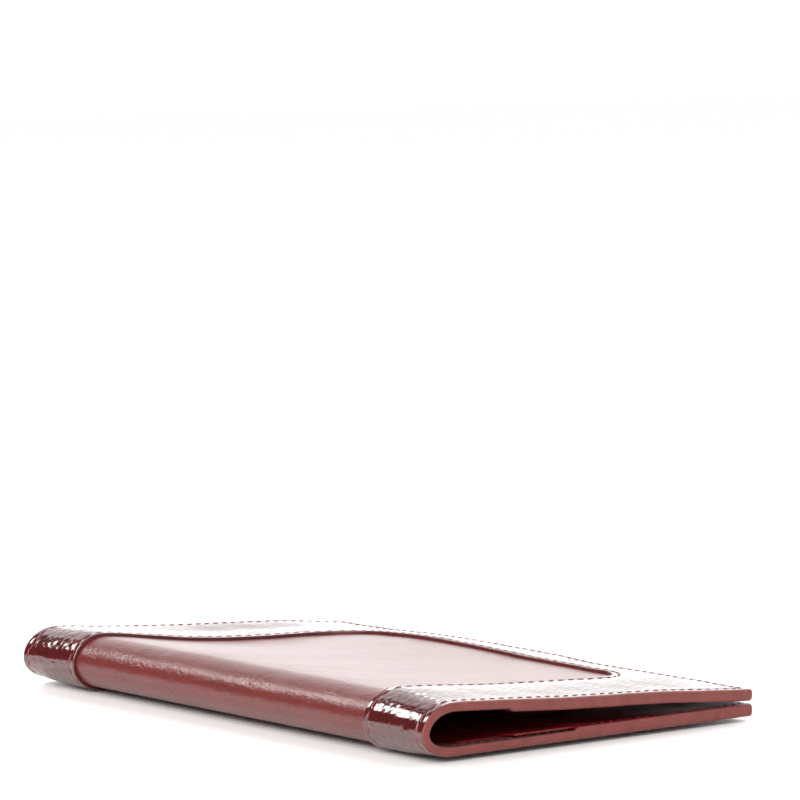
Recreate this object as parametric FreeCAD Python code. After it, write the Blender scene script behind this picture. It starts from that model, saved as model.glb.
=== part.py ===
import FreeCAD, Part
import math
import os

# A two-fold travel wallet, closed and lying on its back cover. Millimetres.
# X runs along the spine, Y from the spine to the open edge, Z up from the resting surface.
# The origin is under the middle of the closed wallet.

LENGTH = 152.0  # along the spine
WIDTH = 99.0  # from the spine's outer face to the open edge
SPINE_HEIGHT = 12.6  # outside, over both covers at the spine
COVER_SLOPE = 3.7  # degrees that the front cover drops towards the open edge
CORNER_RADIUS = 2.5  # the covers' two corners at the open edge

# Layers of a cover, from the outside in
FRAME_THICK = 0.6
CALF_THICK = 0.7
STIFFENER_THICK = 0.4
LINING_THICK = 0.5
TAB_THICK = 0.15  # textile tab under a pocket tier
TIER_THICK = 0.4  # one leather pocket tier
SLIP_POCKET_THICK = 0.6  # the front cover's pocket

# The outer frame of embossed leather and its two rows of stitches
BAND = 21.0  # width of the frame at both ends
OPEN_BAND = 18.5  # its width along the open edge
WINDOW_RADIUS = 12.0  # the window's corners
EDGE_ROW_INSET = 2.2  # outer row, from the edge
WINDOW_ROW_INSET = 1.6  # inner row, from the window
GROOVE_WIDTH = 0.8
GROOVE_DEPTH = 0.35
THREAD_WIDTH = 0.5
THREAD_THICK = 0.3

# Distances from the spine's outer face
COVER_START = 7.8  # the flat covers begin here, clear of the turning spine
NOTE_MOUTH = 14.0
DOCUMENT_MOUTH = 27.5
CARD_MOUTH = 45.0
SLIP_MOUTH = 26.0

# Distances from the ends and the open edge
STIFFENER_INSET = 3.0
NOTE_INSET = 5.0
DOCUMENT_INSET = 1.5
CARD_RIM = 3.0  # glued rim of the card pocket
TAB_INSET = 5.5

SPINE_RADIUS = SPINE_HEIGHT / 2
HALF = LENGTH / 2
SPINE_FACE = -WIDTH / 2
UNDER_CALF = FRAME_THICK
UNDER_STIFFENER = UNDER_CALF + CALF_THICK
UNDER_LINING = UNDER_STIFFENER + STIFFENER_THICK
COVER_THICK = UNDER_LINING + LINING_THICK

os.makedirs("parts", exist_ok=True)


def save(name, shape):
    """Writes one sub-part as its own STEP file."""
    shape.exportStep("parts/" + name + ".step")


def y_at(from_spine):
    """Y of a distance from the spine's outer face."""
    return SPINE_FACE + from_spine


def sheet(inset, start, end, radius, low, thick):
    """A flat sheet, inset from both ends, with its two corners on the open side rounded."""
    half = HALF - inset
    y_start = y_at(start)
    y_end = y_at(end)
    turn = radius * (1 - math.sqrt(0.5))
    points = {
        "start_far": (-half, y_start),
        "start_near": (half, y_start),
        "near_side": (half, y_end - radius),
        "near_corner": (half - turn, y_end - turn),
        "near_open": (half - radius, y_end),
        "far_open": (-half + radius, y_end),
        "far_corner": (-half + turn, y_end - turn),
        "far_side": (-half, y_end - radius),
    }
    at = {name: FreeCAD.Vector(x, y, low) for name, (x, y) in points.items()}
    edges = [
        Part.makeLine(at["start_far"], at["start_near"]),
        Part.makeLine(at["start_near"], at["near_side"]),
        Part.Arc(at["near_side"], at["near_corner"], at["near_open"]).toShape(),
        Part.makeLine(at["near_open"], at["far_open"]),
        Part.Arc(at["far_open"], at["far_corner"], at["far_side"]).toShape(),
        Part.makeLine(at["far_side"], at["start_far"]),
    ]
    return Part.Face(Part.Wire(edges)).extrude(FreeCAD.Vector(0, 0, thick))


def around_edge(inset, low, thick):
    """Everything inside a line that runs inset from the ends and the open edge."""
    radius = max(CORNER_RADIUS - inset, 0.4)
    return sheet(inset, COVER_START, WIDTH - inset, radius, low, thick)


def around_window(outset, low, thick):
    """The window of the frame, grown by outset on its three sides."""
    radius = WINDOW_RADIUS + outset
    return sheet(BAND - outset, COVER_START, WIDTH - OPEN_BAND + outset, radius, low, thick)


def edge_strip(width, low, thick):
    """A strip of this width that follows the ends and the open edge on the outer row."""
    outer = around_edge(EDGE_ROW_INSET - width / 2, low, thick)
    return outer.cut(around_edge(EDGE_ROW_INSET + width / 2, low, thick))


def window_strip(width, low, thick):
    """A strip of this width that follows the window on the inner row."""
    outer = around_window(WINDOW_ROW_INSET + width / 2, low, thick)
    return outer.cut(around_window(WINDOW_ROW_INSET - width / 2, low, thick))


def cover_frame():
    """The embossed frame of one cover, face down, with a groove for each row of stitches."""
    frame = around_edge(0, 0, FRAME_THICK).cut(around_window(0, 0, FRAME_THICK))
    frame = frame.cut(edge_strip(GROOVE_WIDTH, 0, GROOVE_DEPTH))
    return frame.cut(window_strip(GROOVE_WIDTH, 0, GROOVE_DEPTH))


def thread_low():
    """The thread lies just inside the groove's mouth."""
    return GROOVE_DEPTH - THREAD_THICK


def cover_layers(prefix):
    """The pieces that both covers share, lying face down on the resting surface."""
    stiffener = sheet(
        STIFFENER_INSET,
        COVER_START,
        WIDTH - STIFFENER_INSET,
        CORNER_RADIUS,
        UNDER_STIFFENER,
        STIFFENER_THICK,
    )
    return {
        prefix + "_calf_panel": around_edge(0, UNDER_CALF, CALF_THICK),
        prefix + "_lizard_frame": cover_frame(),
        prefix + "_stiffener": stiffener,
        prefix + "_lining": around_edge(0, UNDER_LINING, LINING_THICK),
        prefix + "_edge_stitching": edge_strip(THREAD_WIDTH, thread_low(), THREAD_THICK),
        prefix + "_window_stitching": window_strip(THREAD_WIDTH, thread_low(), THREAD_THICK),
    }


def back_pockets():
    """Three pocket tiers on the back cover, with their mouths towards the spine."""
    on_lining = COVER_THICK
    tiers_end = CARD_MOUTH - 0.5
    open_inset = WIDTH - TAB_INSET
    note_tier = sheet(NOTE_INSET, NOTE_MOUTH, tiers_end, 0.5, on_lining, TIER_THICK)
    document_low = on_lining + TIER_THICK
    document_tier = sheet(
        DOCUMENT_INSET, DOCUMENT_MOUTH, tiers_end, 0.5, document_low, TIER_THICK
    )
    note_tab = sheet(TAB_INSET, tiers_end, open_inset, CORNER_RADIUS, on_lining, TAB_THICK)
    document_tab_low = on_lining + TAB_THICK
    document_tab = sheet(
        TAB_INSET, tiers_end, open_inset, CORNER_RADIUS, document_tab_low, TAB_THICK
    )
    tabs_thick = 2 * TAB_THICK
    card_top = sheet(0, CARD_MOUTH, WIDTH, CORNER_RADIUS, on_lining + tabs_thick, TIER_THICK)
    rim_outer = sheet(0, CARD_MOUTH, WIDTH, CORNER_RADIUS, on_lining, tabs_thick)
    rim_inner = sheet(
        CARD_RIM, CARD_MOUTH, WIDTH - CARD_RIM, CORNER_RADIUS, on_lining, tabs_thick
    )
    return {
        "back_note_pocket": note_tier,
        "back_document_pocket": document_tier,
        "back_note_pocket_tab": note_tab,
        "back_document_pocket_tab": document_tab,
        "back_card_pocket": card_top.fuse(rim_outer.cut(rim_inner)).removeSplitter(),
    }


def closed_over(shape):
    """Turns a face-down cover piece over onto the spine's top, dropping to the open edge."""
    middle = FreeCAD.Vector(0, 0, SPINE_RADIUS)
    turned = shape.mirror(middle, FreeCAD.Vector(0, 0, 1))
    edge = FreeCAD.Vector(0, y_at(COVER_START), SPINE_HEIGHT)
    turned.rotate(edge, FreeCAD.Vector(1, 0, 0), -COVER_SLOPE)
    return turned


def spine_layer(outside, inside, x_start, x_end):
    """A half-round layer of the spine, between two depths from its outer face."""
    outer = SPINE_RADIUS - outside
    inner = SPINE_RADIUS - inside
    middle = y_at(SPINE_RADIUS)
    low_outer = FreeCAD.Vector(x_start, middle, SPINE_RADIUS - outer)
    far_outer = FreeCAD.Vector(x_start, middle - outer, SPINE_RADIUS)
    top_outer = FreeCAD.Vector(x_start, middle, SPINE_RADIUS + outer)
    low_inner = FreeCAD.Vector(x_start, middle, SPINE_RADIUS - inner)
    far_inner = FreeCAD.Vector(x_start, middle - inner, SPINE_RADIUS)
    top_inner = FreeCAD.Vector(x_start, middle, SPINE_RADIUS + inner)
    edges = [
        Part.Arc(low_outer, far_outer, top_outer).toShape(),
        Part.makeLine(top_outer, top_inner),
        Part.Arc(top_inner, far_inner, low_inner).toShape(),
        Part.makeLine(low_inner, low_outer),
    ]
    return Part.Face(Part.Wire(edges)).extrude(FreeCAD.Vector(x_end - x_start, 0, 0))


def spine_row(row_x, width, outside, inside):
    """A half-round strip of this width, centred on one row of stitches."""
    return spine_layer(outside, inside, row_x - width / 2, row_x + width / 2)


def spine_band(side):
    """The frame's band round the spine at one end; side is 1 for near and -1 for far."""
    x_start, x_end = sorted((side * (HALF - BAND), side * HALF))
    band = spine_layer(0, FRAME_THICK, x_start, x_end)
    for row_x in spine_rows():
        band = band.cut(spine_row(side * row_x, GROOVE_WIDTH, -0.1, GROOVE_DEPTH))
    return band


def spine_rows():
    """X of the edge row and of the window row, on the near side."""
    return HALF - EDGE_ROW_INSET, HALF - BAND + WINDOW_ROW_INSET


def spine_stitching(row_x):
    """One row's thread round the spine, at both ends."""
    low = thread_low()
    threads = [
        spine_row(side * row_x, THREAD_WIDTH, low, low + THREAD_THICK) for side in (-1, 1)
    ]
    return Part.makeCompound(threads)


for name, shape in cover_layers("back").items():
    save(name, shape)
for name, shape in back_pockets().items():
    save(name, shape)

for name, shape in cover_layers("front").items():
    save(name, closed_over(shape))
slip_pocket = sheet(0, SLIP_MOUTH, WIDTH, CORNER_RADIUS, COVER_THICK, SLIP_POCKET_THICK)
save("front_slip_pocket", closed_over(slip_pocket))

edge_row, window_row = spine_rows()
save("spine_calf_panel", spine_layer(UNDER_CALF, UNDER_STIFFENER, -HALF, HALF))
save("spine_lizard_band_near", spine_band(1))
save("spine_lizard_band_far", spine_band(-1))
save("spine_reinforcement", spine_layer(UNDER_STIFFENER, UNDER_LINING, -HALF, HALF))
save("spine_lining", spine_layer(UNDER_LINING, COVER_THICK, -HALF, HALF))
save("spine_edge_stitching", spine_stitching(edge_row))
save("spine_window_stitching", spine_stitching(window_row))
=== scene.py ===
import math

import bmesh
import bpy
import numpy as np
from mathutils import Euler, Matrix, Vector


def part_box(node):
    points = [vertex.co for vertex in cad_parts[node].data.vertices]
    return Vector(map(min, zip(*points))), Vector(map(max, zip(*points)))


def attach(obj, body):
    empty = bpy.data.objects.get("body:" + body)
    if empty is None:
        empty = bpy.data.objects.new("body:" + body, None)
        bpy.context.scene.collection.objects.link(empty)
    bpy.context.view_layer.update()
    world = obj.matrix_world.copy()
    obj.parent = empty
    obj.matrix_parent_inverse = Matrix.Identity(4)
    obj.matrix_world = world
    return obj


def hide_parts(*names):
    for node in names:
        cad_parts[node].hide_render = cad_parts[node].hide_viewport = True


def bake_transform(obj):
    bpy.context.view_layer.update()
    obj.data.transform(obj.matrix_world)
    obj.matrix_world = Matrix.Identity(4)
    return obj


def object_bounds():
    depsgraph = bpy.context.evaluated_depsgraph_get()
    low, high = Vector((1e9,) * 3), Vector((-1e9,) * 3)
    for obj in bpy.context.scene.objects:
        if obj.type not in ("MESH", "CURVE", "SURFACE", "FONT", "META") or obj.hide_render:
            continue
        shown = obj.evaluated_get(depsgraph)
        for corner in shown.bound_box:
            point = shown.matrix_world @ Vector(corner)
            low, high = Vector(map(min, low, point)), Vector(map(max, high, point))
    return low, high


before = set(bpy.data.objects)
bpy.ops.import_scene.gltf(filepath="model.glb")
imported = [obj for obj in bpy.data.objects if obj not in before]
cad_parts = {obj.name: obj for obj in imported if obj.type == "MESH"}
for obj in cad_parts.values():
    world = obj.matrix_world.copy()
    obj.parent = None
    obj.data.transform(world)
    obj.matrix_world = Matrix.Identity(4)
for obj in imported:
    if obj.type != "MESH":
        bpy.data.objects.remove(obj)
cad_low, cad_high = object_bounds()

# A two-fold travel wallet, closed, lying on its back cover. Lengths are in millimetres.
# Every leather is cut flat and then folded. Its pattern has x along the spine, u away from
# the spine's middle line, and h outwards from the neutral line of the cover.
MM = 0.001


def thickness(node):
    """How thick a flat CAD layer of the back cover is."""
    low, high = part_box(node)
    return (high.z - low.z) / MM


HALF = cad_high.x / MM
SPINE_FACE = cad_low.y / MM
WIDTH = (cad_high.y - cad_low.y) / MM
SPINE_TOP = cad_high.z / MM
MIDDLE = SPINE_TOP / 2
FRAME_THICK = thickness("back_lizard_frame")
CALF_THICK = thickness("back_calf_panel")
BOARD_THICK = thickness("back_stiffener")
LINING_THICK = thickness("back_lining")
TIER_THICK = thickness("back_note_pocket")
TAB_THICK = thickness("back_note_pocket_tab")
CARD_THICK = thickness("back_card_pocket")
COVER_THICK = FRAME_THICK + CALF_THICK + BOARD_THICK + LINING_THICK
SLIP_THICK = 0.6
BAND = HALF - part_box("spine_lizard_band_near")[0].x / MM
WINDOW_RADIUS = 12.0
CORNER_RADIUS = 1.3

# Heights from the neutral line, outwards positive
OUTSIDE = COVER_THICK / 2
FRAME_UNDER = OUTSIDE - FRAME_THICK
CALF_UNDER = FRAME_UNDER - CALF_THICK
CALF_TOP = FRAME_UNDER - 0.15  # the calf is pressed a little under the frame
BOARD_UNDER = CALF_UNDER - BOARD_THICK
INSIDE = -COVER_THICK / 2

# The fold: half an ellipse, as soft leather takes it, and then the flat covers
BEND_REACH = 7.9
BEND_RISE = MIDDLE - OUTSIDE
BEND_RUN = 10.5
COVER_SLOPE = math.tan(math.radians(3.7))
SLOPE_START = 4.0
APEX_DROP = 0.6  # the soft spine's outermost line lies this far below its middle
TABLE_DROP = 1.0  # the back cover's middle rests this far below its edges


def u_at(across):
    """Pattern distance of a place given by its distance from the spine's outer face."""
    return BEND_RUN + across - OUTSIDE - BEND_REACH


U_OPEN = u_at(WIDTH)
OPEN_BAND = 18.5
U_WINDOW = u_at(WIDTH - OPEN_BAND)
NOTE_MOUTH = u_at(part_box("back_note_pocket")[0].y / MM - SPINE_FACE)
DOCUMENT_MOUTH = u_at(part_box("back_document_pocket")[0].y / MM - SPINE_FACE)
CARD_MOUTH = u_at(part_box("back_card_pocket")[0].y / MM - SPINE_FACE)
SLIP_MOUTH = u_at(26.0)
NOTE_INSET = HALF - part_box("back_note_pocket")[1].x / MM
DOCUMENT_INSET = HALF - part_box("back_document_pocket")[1].x / MM
TAB_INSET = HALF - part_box("back_note_pocket_tab")[1].x / MM

EDGE_ROW_INSET = 2.2
WINDOW_ROW_OUTSET = 1.6
EDGE_PITCH = 2.7
WINDOW_PITCH = 3.0
PAINT_DEPTH = 0.35  # the leathers stop this far inside the painted edge

BACK = -1
FRONT = 1
SIDE_NAME = {BACK: "back", FRONT: "front"}


# ---------------------------------------------------------------- the fold


def ease(low, high, value):
    """0 below low, 1 above high, and a smooth rise between."""
    t = np.clip((value - low) / (high - low), 0, 1)
    return t * t * (3 - 2 * t)


def bell(value, centre, width):
    """1 at the centre, falling away smoothly over the width."""
    return np.exp(-(((value - centre) / width) ** 2) / 2)


# Waves of the soft upper cover: height, then place and width along x and across
COVER_WAVES = (
    (0.8, -14, 22, 78, 13),
    (0.5, -50, 25, 6, 8),
    (-0.45, 32, 16, WIDTH, 8),
    (-0.35, 76, 14, WIDTH, 12),
    (0.55, -36, 10, 80, 14),
    (-0.45, -60, 11, 78, 14),
    (-0.15, 20, 16, 82, 12),
    (-0.4, -74, 9, WIDTH, 9),
    (-0.5, -78, 10, WIDTH, 10),
)


def soft_rise(x, across):
    """How far the soft upper cover stands above its drawn plane."""
    inside = ease(0, 17, HALF - np.abs(x)) * (1 - ease(84, 97, across))
    rise = -0.35 + 0.95 * inside
    rise = rise - 0.35 * bell(across, 40, 15)
    hollow = bell(x, -50, 17) * bell(across, 52, 26) * ease(0, 12, HALF + x)
    rise = rise - 2.3 * hollow
    for height, x_place, x_width, across_place, across_width in COVER_WAVES:
        rise = rise + height * bell(x, x_place, x_width) * bell(across, across_place, across_width)
    return rise


def back_sag(x, across):
    """How far the soft back cover hangs below its edges, down to the table."""
    inside = ease(0, 13, HALF - np.abs(x)) * (1 - ease(WIDTH - 16, WIDTH - 2, across))
    return TABLE_DROP * inside * (0.7 + 0.3 * ease(6, 16, across)) * ease(0, 5, across)


def handling(x, s):
    """Small waves left in the leather by handling."""
    waves = np.sin(x * 0.21 + s * 0.055 + 0.7) * np.sin(s * 0.13 - x * 0.035 + 1.9)
    small = np.sin(x * 0.47 - s * 0.11) * np.sin(s * 0.39 + x * 0.05 + 0.4)
    return 0.07 * waves + 0.03 * small


def folded(side, pattern):
    """Pattern points (x, u, h) as places on the closed wallet, in metres."""
    x, u, h = pattern[:, 0], pattern[:, 1], pattern[:, 2]
    turn = np.clip(u / BEND_RUN, 0, 1) * math.pi / 2
    flat = np.maximum(u - BEND_RUN, 0)
    across = OUTSIDE + BEND_REACH * (1 - np.cos(turn)) + flat
    up = MIDDLE + side * BEND_RISE * np.sin(turn) - APEX_DROP * np.cos(turn) ** 2
    out_across = -np.cos(turn) / BEND_REACH
    out_up = side * np.sin(turn) / BEND_RISE
    length = np.hypot(out_across, out_up)
    out_across, out_up = out_across / length, out_up / length
    if side == FRONT:
        run = np.hypot(flat, SLOPE_START)
        up = up - COVER_SLOPE * (run - SLOPE_START)
        out_across = out_across + COVER_SLOPE * flat / run
    lift = (1 + side * np.sin(turn)) / 2
    if side == BACK:
        ripple = handling(x, -u) * (1 - ease(0, BEND_RUN, u)) * 0.5
    else:
        ripple = handling(x, u) * (0.5 + 0.5 * ease(0, BEND_RUN, u))
    out = h + ripple
    up = up + lift * soft_rise(x, across) - (1 - lift) * back_sag(x, across) + out_up * out
    y = SPINE_FACE + across + out_across * out
    return np.stack([x, y, up], axis=1) * MM


# ---------------------------------------------------------------- materials


class Value:
    """A socket of a material, so that its maths reads as a Python expression."""

    def __init__(self, finish, socket):
        self.finish = finish
        self.socket = socket

    def math(self, operation, first, second=0.0):
        return self.finish.add("ShaderNodeMath", {"operation": operation}, {0: first, 1: second})

    def __add__(self, other):
        return self.math("ADD", self, other)

    def __radd__(self, other):
        return self.math("ADD", other, self)

    def __sub__(self, other):
        return self.math("SUBTRACT", self, other)

    def __rsub__(self, other):
        return self.math("SUBTRACT", other, self)

    def __mul__(self, other):
        return self.math("MULTIPLY", self, other)

    def __rmul__(self, other):
        return self.math("MULTIPLY", other, self)

    def size(self):
        return self.math("ABSOLUTE", self)


class Finish:
    """The nodes of a material or of the world, and the one method that adds a node."""

    def __init__(self, owner):
        owner.use_nodes = True
        self.owner = owner
        self.nodes = owner.node_tree.nodes
        self.links = owner.node_tree.links
        self.nodes.clear()

    def put(self, socket, value):
        if isinstance(value, Value):
            self.links.new(value.socket, socket)
        else:
            socket.default_value = value

    def add(self, kind, settings=None, values=None, output=0):
        node = self.nodes.new(kind)
        for name, value in (settings or {}).items():
            if name == "stops":
                self.set_stops(node.color_ramp, value)
            else:
                setattr(node, name, value)
        for name, value in (values or {}).items():
            self.put(node.inputs[name], value)
        return Value(self, node.outputs[output]) if node.outputs else None

    def set_stops(self, ramp, stops):
        while len(ramp.elements) < len(stops):
            ramp.elements.new(0.5)
        for element, (place, colour) in zip(ramp.elements, stops):
            element.position = place
            element.color = colour

    def pattern(self):
        """The piece's own flat pattern, in centimetres."""
        return self.add("ShaderNodeUVMap", {"uv_map": "pattern"})

    def mapped(self, vector, scale=(1, 1, 1), place=(0, 0, 0), turn=(0, 0, 0)):
        values = {"Vector": vector, "Location": place, "Rotation": turn, "Scale": scale}
        return self.add("ShaderNodeMapping", None, values)

    def noise(self, vector, scale, detail=3.0, roughness=0.5, distortion=0.0):
        values = {
            "Vector": vector,
            "Scale": scale,
            "Detail": detail,
            "Roughness": roughness,
            "Distortion": distortion,
        }
        return self.add("ShaderNodeTexNoise", None, values)

    def cells(self, vector, scale, randomness=1.0, feature="F1"):
        values = {"Vector": vector, "Scale": scale, "Randomness": randomness}
        return self.add("ShaderNodeTexVoronoi", {"feature": feature}, values)

    def ramp(self, factor, stops):
        return self.add("ShaderNodeValToRGB", {"stops": stops}, {"Fac": factor})

    def blend(self, factor, first, second):
        """A mix of two colours."""
        settings = {"data_type": "RGBA", "clamp_factor": True}
        return self.add("ShaderNodeMix", settings, {0: factor, 6: first, 7: second}, output=2)

    def rise(self, value, low, high):
        """0 below low, 1 above high, and a smooth rise between."""
        settings = {"interpolation_type": "SMOOTHSTEP"}
        values = {"Value": value, "From Min": low, "From Max": high}
        return self.add("ShaderNodeMapRange", settings, values)

    def bump(self, height, distance):
        values = {"Height": height, "Distance": distance, "Strength": 1.0}
        return self.add("ShaderNodeBump", None, values)

    def finish(self, **sockets):
        """Ends the material with a shader that has these socket values."""
        values = {name.replace("_", " "): value for name, value in sockets.items()}
        shader = self.add("ShaderNodeBsdfPrincipled", None, values)
        self.add("ShaderNodeOutputMaterial", None, {"Surface": shader})
        return self.owner


def colour(red, green, blue):
    """A colour given as 0 to 255 screen values, made linear."""
    parts = []
    for part in (red, green, blue):
        part = part / 255
        parts.append(part / 12.92 if part <= 0.04045 else ((part + 0.055) / 1.055) ** 2.4)
    return (*parts, 1.0)


def glazed_calf():
    """Smooth brick-red calf: fine pores, a glazed shine, and a crinkle where it bends."""
    f = Finish(bpy.data.materials.new("glazed_calf"))
    at = f.pattern()
    cloud = f.noise(at, 0.9, 4.0, 0.55)
    pores = f.cells(at, 16.0)
    grain = f.noise(at, 24.0, 4.0, 0.62)
    pull = f.noise(f.mapped(at, (1.0, 1.6, 1.0)), 3.4, 3.0, 0.55, 0.5)
    from_middle = f.add("ShaderNodeSeparateXYZ", None, {"Vector": at}, output=1).size()
    flat = f.rise(from_middle, 0.7, 1.9)
    tone = f.ramp(cloud, [(0.3, colour(88, 31, 29)), (0.7, colour(101, 37, 34))])
    deep = f.ramp(grain, [(0.25, colour(77, 27, 26)), (0.6, colour(102, 38, 35))])
    base = f.blend(0.35, tone, deep)
    height = 0.4 * grain + 0.35 * pores + (1.7 - 1.4 * flat) * pull
    normal = f.bump(height, 0.00009)
    gloss = 0.24 + 0.1 * grain
    return f.finish(
        Base_Color=base,
        Roughness=gloss,
        IOR=1.5,
        Specular_IOR_Level=0.7,
        Normal=normal,
    )


def patent_lizard():
    """High-gloss ruby leather; its scales are in the mesh, with a depth attribute that also darkens the
    creases as painted shade.
    """
    f = Finish(bpy.data.materials.new("patent_lizard"))
    at = f.pattern()
    depth = f.add("ShaderNodeAttribute", {"attribute_name": "scale_depth"}, output="Fac")
    cloud = f.noise(at, 2.5, 3.0, 0.5)
    fine = f.noise(at, 30.0, 3.0, 0.6)
    tone = f.ramp(cloud, [(0.3, colour(66, 13, 15)), (0.75, colour(88, 20, 22))])
    # painted shade: the creases are darkened towards colour (50, 10, 12), following the depth attribute
    base = f.blend(depth, tone, colour(50, 10, 12))
    normal = f.bump(0.6 * fine + 1.4 * cloud, 0.00003)
    gloss = 0.07 + 0.2 * depth
    return f.finish(
        Base_Color=base,
        Roughness=gloss,
        IOR=1.6,
        Specular_IOR_Level=1.0,
        Normal=normal,
    )


def edge_paint():
    """Dull brick-red paint, rubbed smooth over the layers, with a slight unevenness."""
    f = Finish(bpy.data.materials.new("edge_paint"))
    at = f.pattern()
    cloud = f.noise(at, 3.0, 4.0, 0.6)
    fine = f.noise(at, 26.0, 3.0, 0.6)
    base = f.ramp(cloud, [(0.3, colour(111, 52, 48)), (0.7, colour(127, 62, 58))])
    normal = f.bump(cloud + 0.4 * fine, 0.00008)
    gloss = 0.44 + 0.12 * fine
    return f.finish(Base_Color=base, Roughness=gloss, Specular_IOR_Level=0.35, Normal=normal)


def cut_paint():
    """Darker paint on the frame's cut edge beside the window."""
    f = Finish(bpy.data.materials.new("cut_paint"))
    at = f.pattern()
    cloud = f.noise(at, 6.0, 4.0, 0.6)
    base = f.ramp(cloud, [(0.3, colour(72, 22, 22)), (0.7, colour(92, 31, 29))])
    normal = f.bump(cloud, 0.00005)
    return f.finish(Base_Color=base, Roughness=0.42, Normal=normal)


def waxed_thread():
    """Dark red linen thread: fine twisted strands with a waxed shine."""
    f = Finish(bpy.data.materials.new("waxed_thread"))
    at = f.pattern()
    turned = f.mapped(at, (1, 1, 1), (0, 0, 0), (0, 0, math.radians(35)))
    twist = f.add(
        "ShaderNodeTexWave",
        {"wave_type": "BANDS", "bands_direction": "X"},
        {"Vector": turned, "Scale": 9.0, "Distortion": 0.6, "Detail": 2.0},
        output="Fac",
    )
    base = f.ramp(twist, [(0.1, colour(92, 31, 32)), (0.8, colour(132, 54, 53))])
    normal = f.bump(twist, 0.00006)
    return f.finish(Base_Color=base, Roughness=0.38, Sheen_Weight=0.15, Normal=normal)


def lining_leather():
    """Fine-grained dark red lining, with a soft shine."""
    f = Finish(bpy.data.materials.new("lining_leather"))
    at = f.pattern()
    grain = f.cells(at, 22.0)
    cloud = f.noise(at, 1.4, 4.0, 0.55)
    fine = f.noise(at, 40.0, 3.0, 0.6)
    tone = f.ramp(cloud, [(0.3, colour(84, 50, 47)), (0.7, colour(100, 60, 56))])
    base = f.blend(0.3 * grain, tone, colour(60, 34, 32))
    normal = f.bump(0.7 * grain + 0.5 * fine, 0.00004)
    gloss = 0.75 + 0.15 * grain
    return f.finish(Base_Color=base, Roughness=gloss, Specular_IOR_Level=0.15, Normal=normal)


def pocket_leather():
    """The pocket tiers' glossy ruby leather, lightly embossed, with the emboss creases darkened as
    painted shade.
    """
    f = Finish(bpy.data.materials.new("pocket_leather"))
    at = f.pattern()
    cells = f.cells(f.mapped(at, (1.0, 1.35, 1.0)), 5.0, 0.6, "DISTANCE_TO_EDGE")
    cloud = f.noise(at, 2.0, 3.0, 0.5)
    dome = f.rise(cells, 0.0, 0.12)
    tone = f.ramp(cloud, [(0.3, colour(114, 15, 19)), (0.75, colour(130, 20, 24))])
    # painted shade: the cell edges of the emboss are darkened to colour (108, 14, 18)
    base = f.blend(dome, colour(108, 14, 18), tone)
    normal = f.bump(dome, 0.00004)
    gloss = 0.4 - 0.06 * dome
    return f.finish(Base_Color=base, Roughness=gloss, Specular_IOR_Level=0.35, Normal=normal)


def pocket_textile():
    """Fine dark twill behind the pocket tiers."""
    f = Finish(bpy.data.materials.new("pocket_textile"))
    at = f.pattern()
    settings = {"wave_type": "BANDS", "bands_direction": "DIAGONAL"}
    twill = f.add("ShaderNodeTexWave", settings, {"Vector": at, "Scale": 16.0}, output="Fac")
    fleck = f.noise(at, 30.0, 3.0, 0.6)
    base = f.ramp(twill, [(0.2, colour(40, 18, 18)), (0.8, colour(66, 30, 28))])
    normal = f.bump(twill + 0.5 * fleck, 0.00006)
    return f.finish(Base_Color=base, Roughness=0.85, Normal=normal)


def salpa_board():
    """Bonded leather board: pressed fibres in a flat brown."""
    f = Finish(bpy.data.materials.new("salpa_board"))
    at = f.pattern()
    fibres = f.noise(f.mapped(at, (1.0, 3.0, 1.0)), 9.0, 5.0, 0.7, 0.6)
    base = f.ramp(fibres, [(0.3, colour(120, 92, 66)), (0.7, colour(168, 136, 100))])
    normal = f.bump(fibres, 0.00008)
    return f.finish(Base_Color=base, Roughness=0.85, Normal=normal)


CALF = glazed_calf()
LIZARD = patent_lizard()
PAINT = edge_paint()
CUT = cut_paint()
THREAD = waxed_thread()
LINING = lining_leather()
POCKET = pocket_leather()
TEXTILE = pocket_textile()
BOARD = salpa_board()


# ---------------------------------------------------------------- making pieces


def finish_piece(bm, name, side, materials, nodes, bends=True, sharp=38.0):
    """Folds a flat piece into place, gives it its pattern map, and hangs a piece that does not bend on
    its cover's body.
    """
    bmesh.ops.remove_doubles(bm, verts=bm.verts, dist=1e-5)
    bmesh.ops.recalc_face_normals(bm, faces=bm.faces)
    pattern = np.array([v.co for v in bm.verts]).reshape(-1, 3)
    uv = bm.loops.layers.uv.new("pattern")
    for face in bm.faces:
        for loop in face.loops:
            x, u, h = loop.vert.co
            loop[uv].uv = (x * 0.1 + h * 0.05, side * (u + h * 0.5) * 0.1)
    mesh = bpy.data.meshes.new(name)
    for material in materials:
        mesh.materials.append(material)
    for face in bm.faces:
        face.smooth = True
    if side == FRONT:
        bmesh.ops.reverse_faces(bm, faces=bm.faces)
    bm.to_mesh(mesh)
    bm.free()
    mesh.vertices.foreach_set("co", folded(side, pattern).astype(np.float32).ravel())
    mesh.update()
    mesh.set_sharp_from_angle(angle=math.radians(sharp))
    piece = bpy.data.objects.new(name, mesh)
    bpy.context.scene.collection.objects.link(piece)
    if bends:
        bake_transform(piece)
    else:
        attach(piece, "back_cover" if side == BACK else "front_cover")
    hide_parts(*nodes)
    return piece


def steps(*stretches):
    """Values along a line: each stretch is (end, step), starting from the first value."""
    values = [stretches[0]]
    for end, step in stretches[1:]:
        start = values[-1]
        count = max(1, math.ceil((end - start) / step - 1e-6))
        values += [start + (end - start) * k / count for k in range(1, count + 1)]
    return values


def fold_rows(end, step, start=0.0):
    """Rows of a sheet that crosses the fold: close together where it bends."""
    if start > BEND_RUN + 3:
        return steps(start, (end, step))
    return steps(start, (start + 0.02, 0.02), (BEND_RUN + 3, 0.35), (end, step))


def corner_half(half, end, radius, u):
    """Half width of a sheet at u, with its two corners at the end rounded."""
    left = np.clip(end - u, 0, radius)
    return half - radius + np.sqrt(np.maximum(radius**2 - (radius - left) ** 2, 0))


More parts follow.
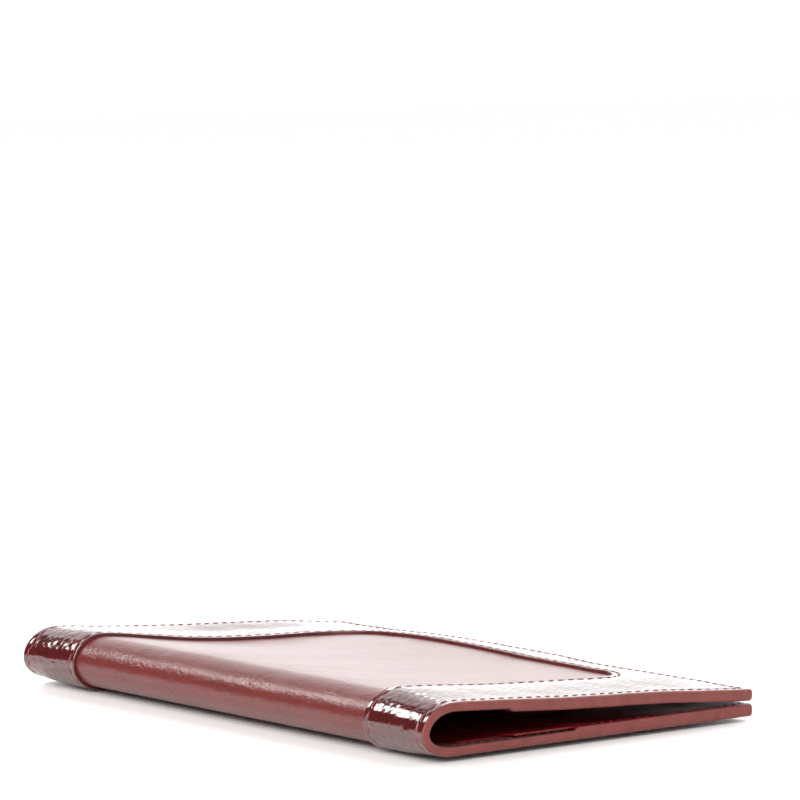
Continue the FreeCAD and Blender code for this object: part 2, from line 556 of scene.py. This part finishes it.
def sheet(half, rows, radius, top, under, column_step):
    """A flat sheet with a rounded corner at each open end: a grid, then its thickness.

    top and under give h over (x, u)."""
    columns = max(8, math.ceil(2 * half / column_step))
    end = rows[-1]
    rounding = [end - radius * (1 - math.cos(math.radians(a))) for a in (75, 60, 45, 30, 15)]
    rows = [u for u in rows if u < end - radius] + [end - radius] + rounding + [end]
    bm = bmesh.new()
    bmesh.ops.create_grid(bm, x_segments=columns, y_segments=len(rows) - 1, size=1.0)
    row_of = {}
    for vert in bm.verts:
        row_of[vert] = round((vert.co.y + 1) / 2 * (len(rows) - 1))
    for vert, row in row_of.items():
        u = rows[row]
        vert.co.x = vert.co.x * float(corner_half(half, end, radius, u))
        vert.co.y = u
    made = bmesh.ops.extrude_face_region(bm, geom=list(bm.faces))
    lower = {item for item in made["geom"] if isinstance(item, bmesh.types.BMVert)}
    for vert in bm.verts:
        height = under if vert in lower else top
        vert.co.z = height(vert.co.x, vert.co.y)
    return bm


def level(h):
    """A constant height over the pattern."""
    return lambda x, u: h


def calf(side):
    bm = sheet(
        HALF - PAINT_DEPTH,
        fold_rows(U_OPEN - PAINT_DEPTH, 1.6),
        CORNER_RADIUS,
        level(CALF_TOP),
        level(CALF_UNDER),
        1.6,
    )
    name = SIDE_NAME[side]
    nodes = (name + "_calf_panel", "spine_calf_panel")
    return finish_piece(bm, name + "_calf", side, [CALF], nodes)


def board(side):
    bm = sheet(
        HALF - 3,
        fold_rows(U_OPEN - 3, 3.0),
        CORNER_RADIUS,
        level(CALF_UNDER),
        level(BOARD_UNDER),
        4.0,
    )
    name = SIDE_NAME[side]
    nodes = (name + "_stiffener", "spine_reinforcement")
    return finish_piece(bm, name + "_board", side, [BOARD], nodes)


def lining(side):
    bm = sheet(
        HALF - PAINT_DEPTH,
        fold_rows(U_OPEN - PAINT_DEPTH, 2.0),
        CORNER_RADIUS,
        level(BOARD_UNDER),
        level(INSIDE),
        2.0,
    )
    name = SIDE_NAME[side]
    nodes = (name + "_lining", "spine_lining")
    return finish_piece(bm, name + "_lining_leather", side, [LINING], nodes)


# ---------------------------------------------------------------- the embossed frame

SCALE_LONG = 2.3  # scale size along the spine
SCALE_ACROSS = 1.7
SCALE_DEPTH = 0.09
SCALE_LEAN = 0.13
FRAME_STEP = {FRONT: 0.4, BACK: 0.7}  # mesh size of each cover's frame


def scale_seed(column, row, salt):
    """A steady pseudo-random value from 0 to 1 for one scale of the embossing."""
    value = np.sin(column * 127.1 + row * 311.7 + salt * 74.7) * 43758.5453
    return value - np.floor(value)


def scale_field(x, s):
    """The embossed scales: how much each place is scale rather than crease, and its tilt."""
    row = np.floor(s / SCALE_ACROSS)
    best = np.full(x.shape, 1e9)
    second = np.full(x.shape, 1e9)
    tilt = np.zeros(x.shape)
    for down in (-1, 0, 1):
        this_row = row + down
        shift = 0.5 * (this_row % 2)
        column = np.floor(x / SCALE_LONG - shift)
        for right in (-1, 0, 1):
            this_column = column + right
            jog_x = 0.4 * (scale_seed(this_column, this_row, 1) - 0.5)
            jog_s = 0.4 * (scale_seed(this_column, this_row, 2) - 0.5)
            off_x = x - (this_column + 0.5 + shift + jog_x) * SCALE_LONG
            off_s = s - (this_row + 0.5 + jog_s) * SCALE_ACROSS
            away = np.hypot(off_x / SCALE_LONG, off_s / SCALE_ACROSS * 0.86)
            lean_x = scale_seed(this_column, this_row, 3) - 0.5
            lean_s = scale_seed(this_column, this_row, 4) - 0.5
            closer = away < best
            second = np.minimum(second, np.where(closer, best, away))
            tilt = np.where(closer, SCALE_LEAN * (lean_x * off_x + lean_s * off_s), tilt)
            best = np.minimum(best, away)
    crease = ease(0.0, 0.2, second - best)
    dome = crease * (1 - 0.3 * np.clip(best / 0.6, 0, 1) ** 2)
    return dome, tilt * crease


def corner_angles(count):
    """Angles round a frame corner, closer together towards its mitre."""
    angles = []
    for k in range(count + 1):
        t = 1 - 2 * k / count
        angles.append(math.radians(45 * (1 - math.copysign(abs(t) ** 1.35, t))))
    return angles


def inset_corner(inset, angle, centre_x, centre_u):
    """Where a ray from the window corner's centre meets the outer edge, moved in by inset."""
    reach_x = HALF - inset - centre_x
    reach_u = U_OPEN - inset - centre_u
    radius = max(CORNER_RADIUS - inset, 0.05)
    dx, du = math.cos(angle), math.sin(angle)
    along = min(reach_x / max(dx, 1e-9), reach_u / max(du, 1e-9))
    x, u = dx * along, du * along
    core_x, core_u = reach_x - radius, reach_u - radius
    if x > core_x and u > core_u:
        middle = dx * core_x + du * core_u
        gap = core_x**2 + core_u**2 - radius**2
        along = middle + math.sqrt(max(middle**2 - gap, 0))
        x, u = dx * along, du * along
    return centre_x + x, centre_u + u


def frame_stations(step, corner_count):
    """Stations along the frame: (kind, x or u or corner angle, side of x)."""
    stop = U_WINDOW - WINDOW_RADIUS
    band_rows = fold_rows(stop, step)
    stations = [("band", u, 1) for u in band_rows]
    stations += [("corner", a, 1) for a in corner_angles(corner_count)[1:]]
    edge = HALF - BAND - WINDOW_RADIUS
    stations += [("open", -x, 1) for x in steps(-edge, (edge, step))[1:]]
    stations += [("corner", a, -1) for a in reversed(corner_angles(corner_count)[:-1])]
    return stations + [("band", u, -1) for u in reversed(band_rows[:-1])]


def frame_point(station, outset, inset, share):
    """A point of the frame: outset from the window, or inset from the edge, or between."""
    kind, value, sign = station
    centre_x = HALF - BAND - WINDOW_RADIUS
    centre_u = U_WINDOW - WINDOW_RADIUS
    if kind == "band":
        near = (centre_x + WINDOW_RADIUS + outset, value)
        far = (HALF - inset, value)
    elif kind == "open":
        near = (value, U_WINDOW + outset)
        far = (value, U_OPEN - inset)
        sign = 1
    else:
        reach = WINDOW_RADIUS + outset
        near = (centre_x + reach * math.cos(value), centre_u + reach * math.sin(value))
        far = inset_corner(inset, value, centre_x, centre_u)
    x = near[0] + (far[0] - near[0]) * share
    u = near[1] + (far[1] - near[1]) * share
    return sign * x, u


WINDOW_CLEAR = 2.9  # the plain rows beside the window end here, and the scales begin
EDGE_CLEAR = 3.2  # the same beside the outer edge
GROOVE_DEEP = 0.16


def frame_rows(step):
    """Rows across the frame from window to edge: (outset, inset, share, h, scales)."""
    top = OUTSIDE
    groove = OUTSIDE - GROOVE_DEEP
    beside_window = (
        (0.0, CALF_TOP - 0.1, 0.0),
        (0.0, FRAME_UNDER + 0.2, 0.0),
        (0.0, top - 0.08, 0.0),
        (0.06, top + 0.02, 0.0),
        (0.16, top + 0.07, 0.0),
        (0.4, top + 0.09, 0.2),
        (0.8, top, 0.3),
        (1.1, top - 0.04, 0.2),
        (1.3, groove + 0.05, 0.0),
        (1.6, groove, 0.0),
        (1.9, groove + 0.05, 0.0),
        (2.1, top - 0.04, 0.2),
        (2.5, top, 0.7),
    )
    beside_edge = (
        (2.9, top, 0.7),
        (2.7, top - 0.04, 0.2),
        (2.5, groove + 0.05, 0.0),
        (2.2, groove, 0.0),
        (1.9, groove + 0.05, 0.0),
        (1.7, top - 0.04, 0.2),
        (1.3, top, 0.3),
        (0.9, top, 0.2),
        (0.55, top - 0.02, 0.0),
        (PAINT_DEPTH, top - 0.06, 0.0),
        (PAINT_DEPTH, FRAME_UNDER, 0.0),
    )
    rows = [(outset, EDGE_CLEAR, 0.0, h, scales) for outset, h, scales in beside_window]
    count = math.ceil((BAND - WINDOW_CLEAR - EDGE_CLEAR) / step)
    rows += [(WINDOW_CLEAR, EDGE_CLEAR, k / count, top, 1.0) for k in range(count + 1)]
    return rows + [(WINDOW_CLEAR, inset, 1.0, h, scales) for inset, h, scales in beside_edge]


def lizard_frame(side, step):
    """The embossed frame of one cover, with its half of the two spine bands."""
    stations = frame_stations(step, math.ceil(60 / step))
    rows = frame_rows(step)
    bm = bmesh.new()
    across, along = len(rows), len(stations)
    bmesh.ops.create_grid(bm, x_segments=across, y_segments=along - 1, size=1.0)
    bm.verts.ensure_lookup_table()
    points = np.zeros((len(bm.verts), 3))
    strength = np.zeros(len(bm.verts))
    for vert in bm.verts:
        place = round((vert.co.x + 1) / 2 * across)
        station = stations[round((vert.co.y + 1) / 2 * (along - 1))]
        outset, inset, share, h, scales = rows[place % across]
        x, u = frame_point(station, outset, inset, share)
        points[vert.index] = (x, u, h)
        strength[vert.index] = scales
    dome, tilt = scale_field(points[:, 0], side * points[:, 1])
    calm = 1 - 0.65 * ease(6, 16, points[:, 1])
    points[:, 2] += (tilt - SCALE_DEPTH * (1 - dome)) * strength * calm
    # the crease depth, read by the material for roughness and for painted shade in the creases
    depth = bm.verts.layers.float.new("scale_depth")
    for vert in bm.verts:
        vert.co = points[vert.index]
        vert[depth] = (1 - dome[vert.index]) * strength[vert.index]
    bmesh.ops.remove_doubles(bm, verts=bm.verts, dist=1e-4)
    ends = [e for e in bm.edges if e.is_boundary]
    bmesh.ops.holes_fill(bm, edges=ends, sides=0)
    for face in bm.faces:
        middle = face.calc_center_median()
        face.material_index = 0
        if middle.z < OUTSIDE - 0.06 and on_window_edge(face):
            face.material_index = 1
    name = SIDE_NAME[side]
    nodes = (name + "_lizard_frame", "spine_lizard_band_near", "spine_lizard_band_far")
    return finish_piece(bm, name + "_frame", side, [LIZARD, CUT], nodes)


def on_window_edge(face):
    """Whether every corner of a face lies on the window's cut edge."""
    centre_x = HALF - BAND - WINDOW_RADIUS
    centre_u = U_WINDOW - WINDOW_RADIUS
    for vert in face.verts:
        x, u = abs(vert.co.x), vert.co.y
        if x > centre_x and u > centre_u:
            away = math.hypot(x - centre_x, u - centre_u) - WINDOW_RADIUS
        elif u > centre_u:
            away = u - U_WINDOW
        else:
            away = x - centre_x - WINDOW_RADIUS
        if abs(away) > 0.1:
            return False
    return True


# ---------------------------------------------------------------- painted edge


def inner_face(side, u):
    """Height of a cover's inner face at its edges."""
    if side == FRONT:
        return INSIDE - SLIP_THICK * float(ease(SLIP_MOUTH - 0.1, SLIP_MOUTH + 0.1, u))
    return INSIDE - CARD_THICK * float(ease(CARD_MOUTH - 0.1, CARD_MOUTH + 0.1, u))


def edge_path(inset, radius, step):
    """Points round a cover's edge: (x, u, outward x, outward u)."""
    half, end = HALF - inset, U_OPEN - inset
    core_x, core_u = half - radius, end - radius
    rows = fold_rows(core_u, step)
    corner = []
    for degrees in range(10, 90, 10):
        out_x = math.cos(math.radians(degrees))
        out_u = math.sin(math.radians(degrees))
        corner.append((core_x + radius * out_x, core_u + radius * out_u, out_x, out_u))
    points = [(half, u, 1.0, 0.0) for u in rows] + corner
    points += [(-x, end, 0.0, 1.0) for x in steps(-core_x, (core_x, step))]
    points += [(-x, u, -out_x, out_u) for x, u, out_x, out_u in reversed(corner)]
    return points + [(-half, u, -1.0, 0.0) for u in reversed(rows)]


def painted_edge(side):
    """The paint over the layers' edges: a rounded bead all round the cover."""
    path = edge_path(0.0, CORNER_RADIUS, 1.2)
    around = 16
    bm = bmesh.new()
    bmesh.ops.create_grid(bm, x_segments=around, y_segments=len(path) - 1, size=1.0)
    for vert in bm.verts:
        angle = round((vert.co.x + 1) / 2 * around) % around * 2 * math.pi / around
        x, u, out_x, out_u = path[round((vert.co.y + 1) / 2 * (len(path) - 1))]
        top = OUTSIDE - 0.03
        low = inner_face(side, u)
        wave = 0.02 * math.sin(0.5 * x + 0.7 * u)
        cosine, sine = math.cos(angle), math.sin(angle)
        out = -0.55 + (0.63 + wave) * math.copysign(abs(cosine) ** 0.8, cosine)
        rise = math.copysign(abs(sine) ** 0.72, sine)
        h = (top + low) / 2 + (top - low) / 2 * rise
        vert.co = (x + out_x * out, u + out_u * out, h)
    bmesh.ops.remove_doubles(bm, verts=bm.verts, dist=1e-4)
    bmesh.ops.holes_fill(bm, edges=[e for e in bm.edges if e.is_boundary], sides=0)
    name = SIDE_NAME[side]
    return finish_piece(bm, name + "_edge_paint", side, [PAINT], ())


# ---------------------------------------------------------------- stitches


def walk(points, pitch):
    """Stitch places along a line of (x, u) points: (x, u, direction)."""
    lengths = [0.0]
    for a, b in zip(points, points[1:]):
        lengths.append(lengths[-1] + math.dist(a, b))
    count = round(lengths[-1] / pitch)
    places, at = [], 0
    for k in range(count):
        want = (k + 0.5) * lengths[-1] / count
        while lengths[at + 1] < want:
            at += 1
        share = (want - lengths[at]) / (lengths[at + 1] - lengths[at])
        a, b = points[at], points[at + 1]
        angle = math.atan2(b[1] - a[1], b[0] - a[0])
        places.append((a[0] + (b[0] - a[0]) * share, a[1] + (b[1] - a[1]) * share, angle))
    return places


def stitch_row(side, name, points, pitch, height, nodes, outward=1):
    """Separate stitches along a line, their ends dipping into the leather."""
    bm = bmesh.new()
    for k, (x, u, angle) in enumerate(walk(points, pitch)):
        made = bmesh.ops.create_uvsphere(bm, u_segments=8, v_segments=6, radius=1.0)
        slant = angle + math.radians(5) + 0.03 * math.sin(k * 2.3)
        half_long = pitch * (0.37 + 0.012 * math.sin(k * 1.7))
        h = height(x, u)
        for vert in made["verts"]:
            along = vert.co.z
            wide = vert.co.x * 0.24
            tall = vert.co.y * 0.2 * outward
            dip = -0.16 * along**4 * outward
            step_x = along * half_long
            vert.co = (
                x + step_x * math.cos(slant) - wide * math.sin(slant),
                u + step_x * math.sin(slant) + wide * math.cos(slant),
                h + tall + dip,
            )
    return finish_piece(bm, name, side, [THREAD], nodes, sharp=80)


STITCH_LEVEL = {FRONT: OUTSIDE - 0.03, BACK: OUTSIDE - 0.2}


def window_row(side):
    name = SIDE_NAME[side]
    stations = frame_stations(0.5, 40)
    points = [frame_point(s, WINDOW_ROW_OUTSET, EDGE_CLEAR, 0.0) for s in stations]
    nodes = (name + "_window_stitching", "spine_window_stitching")
    height = level(STITCH_LEVEL[side])
    stitch_row(side, name + "_window_stitches", points, WINDOW_PITCH, height, nodes)


def edge_rows(side):
    name = SIDE_NAME[side]
    points = [(x, u) for x, u, _, _ in edge_path(EDGE_ROW_INSET, 0.6, 0.5)]
    nodes = (name + "_edge_stitching", "spine_edge_stitching")
    height = level(STITCH_LEVEL[side])
    stitch_row(side, name + "_edge_stitches", points, EDGE_PITCH, height, nodes)
    inner = lambda x, u: inner_face(side, u) + 0.06
    stitch_row(side, name + "_inside_stitches", points, EDGE_PITCH, inner, (), outward=-1)


# ---------------------------------------------------------------- pockets


def slip_sag(x, u):
    """The loose slip pocket hangs down until it rests on the pockets below."""
    roof = folded(FRONT, np.array([[x, u, INSIDE - SLIP_THICK]]))[0, 2]
    rest = folded(BACK, np.array([[x, u, INSIDE - 3 * TIER_THICK]]))[0, 2]
    hang = float(ease(3, 22, HALF - abs(x)) * ease(SLIP_MOUTH + 1, SLIP_MOUTH + 22, u))
    return max(0.0, (roof - rest) / MM - 0.3) * hang * float(1 - ease(U_OPEN - 4, U_OPEN - 0.5, u))


def slip_pocket():
    rows = steps(SLIP_MOUTH, (SLIP_MOUTH + 3, 0.3), (U_OPEN - PAINT_DEPTH, 2.0))
    half, radius = HALF - PAINT_DEPTH, CORNER_RADIUS
    outer = lambda x, u: INSIDE - slip_sag(x, u)
    inner = lambda x, u: INSIDE - SLIP_THICK - slip_sag(x, u)
    bm = sheet(half, rows, radius, outer, inner, 2.0)
    name = "front_slip_pocket_leather"
    nodes = ("front_slip_pocket",)
    return finish_piece(bm, name, FRONT, [LINING], nodes, bends=False)


def back_sheet(name, half, reach, top, under, material, slot, node):
    """One flat sheet of the back cover's pockets, from its mouth to its other end."""
    mouth, end = reach
    rows = steps(mouth, (mouth + 9, 0.4), (end, 2.0))
    bm = sheet(half, rows, CORNER_RADIUS, top, under, 2.0)
    return finish_piece(bm, name, BACK, [material], (node,), bends=False)


def over_tiers(x, u):
    """Underside of the card tier: over the lower tiers at its mouth, then down on the tabs."""
    inwards = ease(DOCUMENT_INSET - 0.4, DOCUMENT_INSET + 2.6, HALF - abs(x))
    lap = float(inwards * (1 - ease(CARD_MOUTH + 1.6, CARD_MOUTH + 8, u)))
    return INSIDE - 2 * TAB_THICK - lap * 2 * (TIER_THICK - TAB_THICK)


def card_face(x, u):
    """The card tier's open face."""
    return over_tiers(x, u) - TIER_THICK


def back_pockets():
    """The back cover's pockets, from the lowest layer up, with the tabs under two of them."""
    leather = (POCKET, "pocket_leather")
    cloth = (TEXTILE, "pocket_textile")
    low = level(INSIDE)
    middle = level(INSIDE - TIER_THICK)
    top = level(INSIDE - 2 * TIER_THICK)
    between = level(INSIDE - TAB_THICK)
    above = level(INSIDE - 2 * TAB_THICK)
    tab_reach = (CARD_MOUTH + 1.4, U_OPEN - TAB_INSET)
    note = (NOTE_INSET, (NOTE_MOUTH, CARD_MOUTH + 1.0), low, middle, leather)
    document = (DOCUMENT_INSET, (DOCUMENT_MOUTH, CARD_MOUTH + 1.2), middle, top, leather)
    card_reach = (CARD_MOUTH, U_OPEN - PAINT_DEPTH)
    layers = {
        "back_note_tier": ("back_note_pocket", *note),
        "back_document_tier": ("back_document_pocket", *document),
        "back_note_tab": ("back_note_pocket_tab", TAB_INSET, tab_reach, low, between, cloth),
        "back_document_tab": ("back_document_pocket_tab", TAB_INSET, tab_reach, between, above, cloth),
        "back_card_tier": ("back_card_pocket", PAINT_DEPTH, card_reach, over_tiers, card_face, leather),
    }
    for name, (node, inset, reach, upper, under, finish) in layers.items():
        back_sheet(name, HALF - inset, reach, upper, under, *finish, node)


for cover in (BACK, FRONT):
    calf(cover)
    board(cover)
    lining(cover)
    lizard_frame(cover, FRAME_STEP[cover])
    painted_edge(cover)
    window_row(cover)
    edge_rows(cover)
slip_pocket()
back_pockets()


# ---------------------------------------------------------------- studio

BACKDROP_WAY = (-0.77, 0.63, 0.0)  # towards the lit backdrop behind the wallet
SHADE_WAY = Vector((-0.78, -0.4, 0.48)).normalized()  # a dark flag round the strip light
STRIP_WAY = Vector((-0.655, -0.34, 0.685)).normalized()
STRIP_LONG = Vector((-0.63, 0.44, -0.63)).normalized()


def studio_floor():
    f = Finish(bpy.data.materials.new("studio_floor"))
    material = f.finish(Base_Color=(0.95, 0.95, 0.95, 1.0), Roughness=0.4)
    bm = bmesh.new()
    bmesh.ops.create_grid(bm, x_segments=1, y_segments=1, size=3.0)
    bmesh.ops.translate(bm, verts=bm.verts, vec=(0, 0, -(TABLE_DROP + 0.08) * MM))
    mesh = bpy.data.meshes.new("studio_floor")
    mesh.materials.append(material)
    bm.to_mesh(mesh)
    bm.free()
    floor = bpy.data.objects.new("studio_floor", mesh)
    bpy.context.scene.collection.objects.link(floor)


WARM_WHITE = (1.0, 0.97, 0.94)


def soft_light(name, way, distance, size, brightness, along=None):
    """A rectangular soft light facing the wallet; along is the way of its long side."""
    way = Vector(way).normalized()
    along = Vector(along) if along else Vector((0, 0, 1)).cross(way)
    along = (along - way * along.dot(way)).normalized()
    lamp = bpy.data.lights.new(name, "AREA")
    lamp.shape = "RECTANGLE"
    lamp.size, lamp.size_y = size
    lamp.energy = 4 * size[0] * size[1] * brightness
    lamp.color = WARM_WHITE
    light = bpy.data.objects.new(name, lamp)
    turn = Matrix((along, way.cross(along), way)).transposed()
    light.matrix_world = Matrix.Translation(way * distance) @ turn.to_4x4()
    bpy.context.scene.collection.objects.link(light)


def studio_world():
    """A white room with a dark ceiling, lit behind the wallet, and a dark flag for the gloss."""
    world = bpy.data.worlds.new("studio")
    f = Finish(world)
    way = f.add("ShaderNodeTexCoord")
    settings = {"operation": "DOT_PRODUCT"}
    towards = f.add("ShaderNodeVectorMath", settings, {0: way, 1: BACKDROP_WAY}, output=1)
    shaded = f.add("ShaderNodeVectorMath", settings, {0: way, 1: SHADE_WAY}, output=1)
    height = f.add("ShaderNodeSeparateXYZ", None, {"Vector": way}, output=2)
    glow = 1.6 - 1.15 * f.rise(height, 0.05, 0.4)
    room = 1.3 + glow * f.rise(towards, 0.54, 0.69)
    ceiling = 1 - 0.8 * f.rise(height, 0.72, 0.94)
    bright = room * ceiling * (1 - 0.95 * f.rise(shaded, 0.855, 0.885))
    backdrop = f.add("ShaderNodeBackground", None, {"Strength": bright})
    f.add("ShaderNodeOutputWorld", None, {"Surface": backdrop})
    bpy.context.scene.world = world


def studio():
    studio_floor()
    studio_world()
    soft_light("rear", (-0.3, 0.8, 0.75), 1.6, (1.6, 0.8), 3.8)
    soft_light("strip", STRIP_WAY, 1.5, (0.54, 0.37), 9.0, STRIP_LONG)
    soft_light("front_fill", (0.2, -0.9, 0.6), 1.6, (1.8, 0.8), 4.4)


def camera():
    lens = bpy.data.cameras.new("camera")
    lens.sensor_width = 36.0
    lens.lens = 225.0
    lens.clip_end = 50.0
    eye = bpy.data.objects.new("camera", lens)
    eye.location = (0.9082, -0.7354, 0.1821)
    eye.rotation_euler = Euler((math.radians(90 - 5.45), 0, math.radians(50.77)))
    bpy.context.scene.collection.objects.link(eye)
    bpy.context.scene.camera = eye


studio()
camera()
bpy.context.scene.view_settings.view_transform = "Standard"
